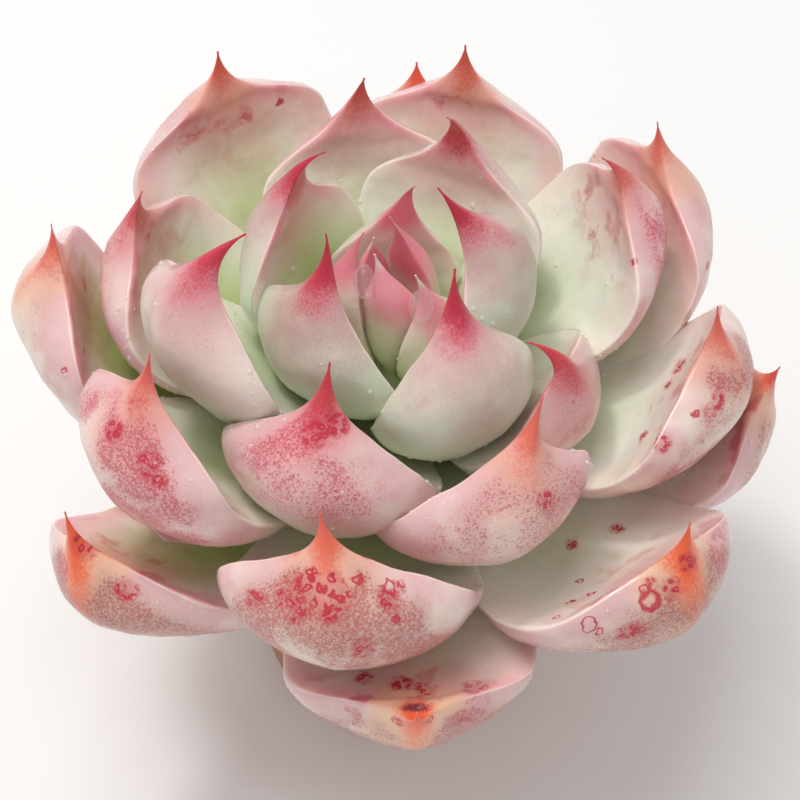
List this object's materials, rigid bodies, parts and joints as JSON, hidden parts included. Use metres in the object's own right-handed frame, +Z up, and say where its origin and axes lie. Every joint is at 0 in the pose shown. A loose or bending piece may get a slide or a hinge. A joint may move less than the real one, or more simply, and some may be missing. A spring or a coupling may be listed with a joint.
{
  "type": "potted rosette succulent",
  "caption": "Potted succulent: a dense rosette of thick spoon-shaped leaves with red spine tips, on a short bare stem in the soil of a small plain tapered pot.",
  "frame": {"origin": "centre of the pot's flat underside, on the surface it stands on", "axes": "+Z up along the pot's axis, +X to the viewer's right, -Y towards the viewer of the picture"},
  "size_m": [0.1064, 0.1017, 0.1026],
  "materials": {
    "pot": "unglazed orange-brown fired clay with a pale lime bloom",
    "soil": "dark gritty potting mix",
    "stem": "dry brown bark ringed with leaf scars",
    "leaf": "smooth waxy leaf flesh, cream and pale green with pink speckle and red tips"
  },
  "bodies": {
    "root": {"pot": "pot", "soil": "soil", "stem": "stem", "rosette": "leaf"}
  },
  "joints": []
}
